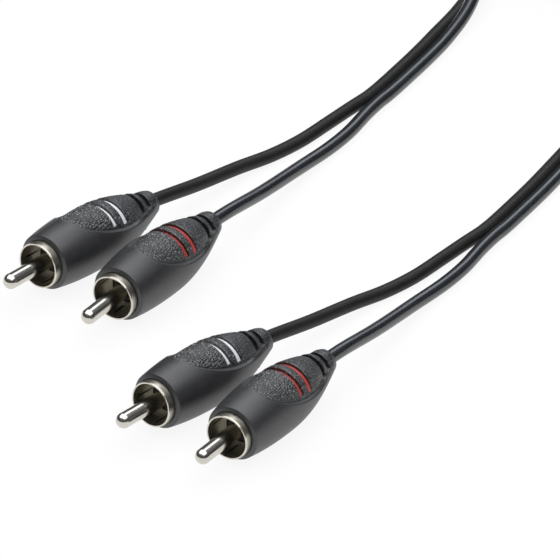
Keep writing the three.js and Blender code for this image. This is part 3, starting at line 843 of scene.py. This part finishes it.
def boot_finish():
    f = Finish("soft_black_pvc", IOR=1.52, Specular_IOR_Level=0.95)
    place = f.place()
    x, y, z = (f.node("ShaderNodeSeparateXYZ", None, {0: place}, out=k) for k in range(3))
    along = f.node("ShaderNodeClamp", None, {
        0: (x / MM - PANEL_START) / (PANEL_END - PANEL_START), 1: 1e-4, 2: 1.0})
    quarter = (along**PANEL_FULLNESS) * (math.pi / 2)
    edge = quarter.maths("SINE", quarter) * PANEL_REACH
    angle = y.maths("ARCTAN2", abs(y), z)
    grip = ramp_between((edge - angle) * 6, PEBBLE_CLEARANCE, PEBBLE_CLEARANCE + 0.4)
    grip = grip * ramp_between(x / MM, PANEL_START + 0.4, PANEL_START + 1.2)
    grip = grip * (1 - 0.45 * ramp_between(x / MM, 22, 27))
    grains, grain_colour = (f.node("ShaderNodeTexVoronoi", dict(feature="F1"), {
        "Vector": place, "Scale": 1 / (SPECK_SIZE * MM), "Randomness": 1.0}, out=k)
        for k in range(2))
    luck = f.node("ShaderNodeSeparateXYZ", None, {0: grain_colour})
    # Painted highlight: a paler colour on some grains of the panel, fewer towards the tail.
    painted_glint = ramp_between(luck, 0.35, 0.9) * (1 - ramp_between(grains, 0.22, 0.42)) * grip
    painted_glint = painted_glint * (1 - 0.55 * ramp_between(x / MM, 16, 23))
    cloud = f.noise(1.1)
    skin_noise = f.noise(0.12, roughness=0.6)
    base = f.blend(ramp_between(cloud, 0.3, 0.7), PVC_DARK, PVC_LIGHT)
    f.feed("Base Color", f.blend(painted_glint, base, PAINTED_GLINT_COLOUR))
    f.feed("Roughness", 0.4 + 0.1 * cloud - 0.08 * grip)
    fine = f.bump(skin_noise, 0.006)
    f.feed("Normal", f.bump((1 - grains) * grip, 0.11, over=fine))
    return f.material


black_pvc = boot_finish()
print("finish:", black_pvc.name)

# %% [markdown]
# ## The metals
# Nickel plate is bright and slightly warm. The ring was drawn over a tool and carries fine
# lines round its wall. The pin was turned and polished, so its lines are finer still. One
# even roughness would look like a mirror ball, so both vary a little, as handled plating
# does. Behind the ring's front edge the plate is rougher, and its colour is painted darker and
# browner, as painted shade inside the cup and on its dim outer wall. The copper strands
# inside the boot use the same recipe with deeper lines.

# %% Metal finishes
# The darker, browner plate colour that is painted behind the ring's front edge as shade.
SHADED_PLATE = (0.44, 0.42, 0.36)
NOWHERE = 1000  # mm, far behind the plug


def plated(name, colour, dull, rough, line_depth, line_size, shade_from_mm=NOWHERE):
    f = Finish(name, Metallic=1.0)
    place = f.place()
    x = f.node("ShaderNodeSeparateXYZ", None, {0: place})
    lines = f.node("ShaderNodeTexNoise", dict(noise_dimensions="1D"), {
        "W": x / (line_size * MM), "Scale": 1.0, "Detail": 2.0})
    smudge = f.noise(2.2)
    # Behind that station the plate gets a painted shade, darker and browner, and is rougher.
    behind = ramp_between(x / MM, shade_from_mm, shade_from_mm + 0.2)
    plate = f.blend(ramp_between(smudge, 0.35, 0.75), colour, dull)
    f.feed("Base Color", f.blend(behind, plate, SHADED_PLATE))
    f.feed("Roughness", rough + 0.09 * smudge + 0.17 * behind)
    f.feed("Normal", f.bump(lines, line_depth))
    return f.material


# Behind its front edge the ring's plate gets the painted shade.
ring_nickel = plated("ring_nickel", (0.69, 0.655, 0.59), (0.55, 0.52, 0.455), 0.12, 0.0012, 0.12,
                     shade_from_mm=0.1)
pin_nickel = plated("pin_nickel", (0.66, 0.635, 0.58), (0.58, 0.555, 0.5), 0.14, 0.0006, 0.09)
print("finishes:", ring_nickel.name, pin_nickel.name)

# %% [markdown]
# ## The other plastics
# The stripes are a hard satin plastic, white or red, with a moulded skin that is almost even.
# The cable's jacket has the faint unevenness of an extruded skin. The half that serves the
# red plugs is glossy, and its lighter, bluer base colour is a painted bluish sheen; the other
# half is matt and warmer. One material could serve both if only colour and roughness changed.
# The strength of the reflection changes too, and an exported material has one value for that,
# so each half gets its own.

# %% Plastic finishes
def moulded(name, light, dark, rough):
    f = Finish(name)
    cloud = f.noise(1.6)
    f.feed("Base Color", f.blend(ramp_between(cloud, 0.3, 0.75), light, dark))
    f.feed("Roughness", rough + 0.1 * cloud)
    f.feed("Normal", f.bump(f.noise(0.25, roughness=0.6), 0.004))
    return f.material


def jacket_finish(name, rough, shine, light, dark):
    f = Finish(name, Specular_IOR_Level=shine)
    waves = f.noise(0.5, roughness=0.55)
    cloud = f.noise(3.5)
    f.feed("Base Color", f.blend(ramp_between(cloud, 0.3, 0.7), dark, light))
    f.feed("Roughness", rough + 0.1 * cloud)
    fine = f.bump(f.noise(0.14, roughness=0.6), 0.0015)
    f.feed("Normal", f.bump(waves, 0.006, over=fine))
    return f.material


white_stripe = moulded("white_stripe", (0.86, 0.88, 0.92), (0.8, 0.83, 0.88), 0.35)
red_stripe = moulded("red_stripe", (0.56, 0.062, 0.05), (0.5, 0.045, 0.038), 0.35)
washer_black = moulded("washer_black", (0.02, 0.02, 0.019), (0.012, 0.012, 0.012), 0.45)
milky = moulded("wire_insulation", (0.8, 0.8, 0.78), (0.7, 0.7, 0.68), 0.4)
copper = plated("copper_strands", (0.72, 0.33, 0.17), (0.55, 0.24, 0.12), 0.25, 0.02, 0.2)
tie_black = moulded("tie_plastic", (0.01, 0.01, 0.011), (0.016, 0.016, 0.017), 0.4)
# The glossy half's lighter, bluer base colour is a painted bluish sheen.
glossy_jacket = jacket_finish("glossy_jacket", 0.21, 1.0, (0.014, 0.0175, 0.022),
                              (0.01, 0.0125, 0.016))
matt_jacket = jacket_finish("matt_jacket", 0.46, 0.35, (0.0135, 0.013, 0.0122),
                            (0.0095, 0.009, 0.0085))
print(len(bpy.data.materials), "materials so far")

# %% [markdown]
# ## Putting the plugs together
# A plug is assembled from a boot, an inner body, a ring, a pin and an insulator. Every mesh
# above is drawn in a plug's own frame, so a plug is put together by giving the same five
# meshes that plug's place. Copies of the meshes would look the same and fill the file. The
# wires inside can't be seen, so they keep their solids and only get their finish.

# %% Plugs
def piece(name, mesh, material, matrix, slot, *nodes):
    made = bpy.data.objects.new(name, mesh)
    made.matrix_world = matrix
    if not mesh.materials:
        mesh.materials.append(material)
    bpy.context.scene.collection.objects.link(made)
    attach(made, "root")
    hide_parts(*nodes)


inner_meshes = {"white": inner_mesh, "red": inner_mesh.copy()}
for name, matrix in PLUGS.items():
    colour = name.split("_")[1]
    stripe = white_stripe if colour == "white" else red_stripe
    piece(name + "_grip", boot_mesh, black_pvc, matrix, "boot", name + "_boot")
    piece(name + "_core", inner_meshes[colour], stripe, matrix, colour + "_plastic",
          name + "_inner_body")
    piece(name + "_cup", ring_mesh, ring_nickel, matrix, "ring_nickel", name + "_ground_ring")
    piece(name + "_contact", pin_mesh, pin_nickel, matrix, "pin_nickel", name + "_centre_pin")
    piece(name + "_washer", insulator_mesh, washer_black, matrix, "washer", name + "_insulator")
    for node, material in (("signal_wire", copper), ("drain_wire", copper),
                           ("wire_insulation", milky)):
        wire = bpy.data.objects[f"{name}_{node}"]
        wire.data.materials.clear()
        wire.data.materials.append(material)
for name, (cord, _, _) in cords.items():
    if not name.endswith("white_lead"):
        cord.data.materials.append(glossy_jacket)
    if not name.endswith("red_lead"):
        cord.data.materials.append(matt_jacket)
print("plugs dressed:", len(PLUGS))

# %% [markdown]
# ## The tie
# The coil is held by a plastic-covered wire, passed round all its turns once and twisted on
# itself. A plain torus would hold it too, but nobody could tell what it is. So it is drawn as
# a flat band that follows the bundle with rounded corners, and as two strands wound round
# each other for its ends.

# %% Tie
TIE_ANGLE = math.radians(60)
BUNDLE_HALF_WIDTH, BUNDLE_HEIGHT = 1.5 * COLUMN_WIDTH, 2 * LAYER_HEIGHT
BUNDLE_MIDDLE = COIL_FLOOR + BUNDLE_HEIGHT / 2
BUNDLE_CORNER, CORNER_STEPS, BAND_BEVEL = 1.5, 7, 0.4
STRAND_STEPS, STRAND_SIDES = 60, 12
STRAND_RADIUS, STRAND_SWING, STRAND_LENGTH, STRAND_TURNS = 0.38, 0.42, 6.6, 2.5


def band_rings(grow, thickness, width):
    """A flat band round the bundle's rounded box, as rings of its small cross-section."""
    foot_x = BUNDLE_HALF_WIDTH + grow - BUNDLE_CORNER
    foot_z = BUNDLE_HEIGHT / 2 + grow - BUNDLE_CORNER
    side, flat, half = width / 2, width / 2 - BAND_BEVEL, thickness / 2
    section = [(-side, 0), (-flat, -half), (flat, -half), (side, 0), (flat, half), (-flat, half)]
    rings = []
    for quarter, (sx, sz) in enumerate(((1, 1), (-1, 1), (-1, -1), (1, -1))):
        for k in range(CORNER_STEPS):
            a = (quarter + k / (CORNER_STEPS - 1)) * math.pi / 2
            out = np.array([math.cos(a), 0, math.sin(a)])
            base = np.array([sx * foot_x, 0, BUNDLE_MIDDLE + sz * foot_z]) + BUNDLE_CORNER * out
            rings.append([base + out * t + np.array([0, s, 0]) for s, t in section])
    rings.append(rings[0])
    return np.array(rings)


def strand_rings(phase):
    t = np.linspace(0, 1, STRAND_STEPS)
    angle = phase + t * STRAND_TURNS * 2 * math.pi
    route = np.stack([BUNDLE_HALF_WIDTH + 0.3 + t * STRAND_LENGTH, STRAND_SWING * np.cos(angle),
                      BUNDLE_MIDDLE + STRAND_SWING * np.sin(angle)], axis=1)
    return skin(route, circle(STRAND_RADIUS, STRAND_SIDES), np.zeros(len(t)))


tie_parts = [mesh_of("band", band_rings(grow=0.35, thickness=0.45, width=3.6))]
tie_parts += [mesh_of("strand", strand_rings(phase)) for phase in (0, math.pi)]
tie_mesh = joined("tie", tie_parts)
tie_place = (Matrix.Translation(Vector((*COIL_CENTRE, 0)) * MM)
             @ Matrix.Rotation(TIE_ANGLE, 4, "Z")
             @ Matrix.Translation(Vector((COIL_RADIUS, 0, 0)) * MM))
piece("twist_tie", tie_mesh, tie_black, tie_place, "tie", "coil_tie")
print("tie:", len(tie_mesh.polygons), "faces")

# %% [markdown]
# ## Table and light
# The lead lies on white paper under a large soft light. A brighter lamp could bleach the
# paper until it looks white, but it would bleach the lead as well. Black plastic shows only
# what it reflects: the soft light from above, the white paper from below, and the dark of the
# room between them. So the room stays dim, and the paper is made white for the camera and for
# reflections, and not by more light on the lead. It keeps a faint shadow. The room is darkest
# at the height of the table, which draws the dark band along the polished pins, and a small
# lamp behind the lead draws the line of light along the glossy cable.

# %% Table
def paper_finish():
    f = Finish("white_paper", Base_Color=(0.95, 0.95, 0.95, 1), Roughness=0.9)
    grain = f.noise(0.9)
    f.feed("Normal", f.bump(grain, 0.004))
    paths = [f.node("ShaderNodeLightPath", out=name) for name in (
        "Is Camera Ray", "Is Glossy Ray", "Is Transmission Ray")]
    seen = paths[0].maths("MINIMUM", paths[0] + paths[1] + paths[2], 1.0)
    glow = f.node("ShaderNodeEmission", None, {"Color": (1, 1, 1, 1), "Strength": 1.0})
    both = f.node("ShaderNodeMixShader", None, {
        0: seen * 0.9, 1: Signal(f, f.shader.outputs[0]), 2: glow})
    f.tree.links.new(both.socket, f.tree.nodes["Material Output"].inputs["Surface"])
    return f.material


TABLE_REACH = 3.0
corners = [(x * TABLE_REACH, y * TABLE_REACH, 0) for x, y in ((-1, -1), (1, -1), (1, 1), (-1, 1))]
table_mesh = bpy.data.meshes.new("table")
table_mesh.from_pydata(corners, [], [(0, 1, 2, 3)])
table = bpy.data.objects.new("table", table_mesh)
table_mesh.materials.append(paper_finish())
bpy.context.scene.collection.objects.link(table)
print("table", 2 * TABLE_REACH, "m across")

# %% Light
def soft_light(name, place, target, size, radiance, colour):
    """A rectangular lamp that looks as bright as its radiance."""
    data = bpy.data.lights.new(name, "AREA")
    data.shape = "RECTANGLE"
    data.size, data.size_y = size
    data.energy = radiance * math.pi * size[0] * size[1]
    data.color = colour
    lamp = bpy.data.objects.new(name, data)
    lamp.location = place
    lamp.rotation_euler = (Vector(place) - Vector(target)).to_track_quat("Z", "Y").to_euler()
    bpy.context.scene.collection.objects.link(lamp)


lead_middle = (0.03, 0.04, 0)
ROOM_DARK, ROOM_LIGHT = (0.05, 0.05, 0.052), (0.25, 0.25, 0.26)
soft_light("overhead", (0.0, 0.0, 0.75), lead_middle, (1.4, 1.05), 1.95, (1, 1, 1))
soft_light("back_strip", (0.385, 1.0, 0.83), lead_middle, (0.5, 0.8), 2.1, (0.86, 0.93, 1))

world = bpy.data.worlds.new("room")
world.use_nodes = True
room = Nodes(world.node_tree)
direction = room.node("ShaderNodeTexCoord", out="Generated")
height = room.node("ShaderNodeSeparateXYZ", None, {0: direction}, out=2)
wall_and_ceiling = room.blend(ramp_between(height, 0.1, 1.1), ROOM_DARK, ROOM_LIGHT)
background = world.node_tree.nodes["Background"]
room.tree.links.new(wall_and_ceiling.socket, background.inputs["Color"])
bpy.context.scene.world = world
print(len(bpy.data.lights), "lamps")
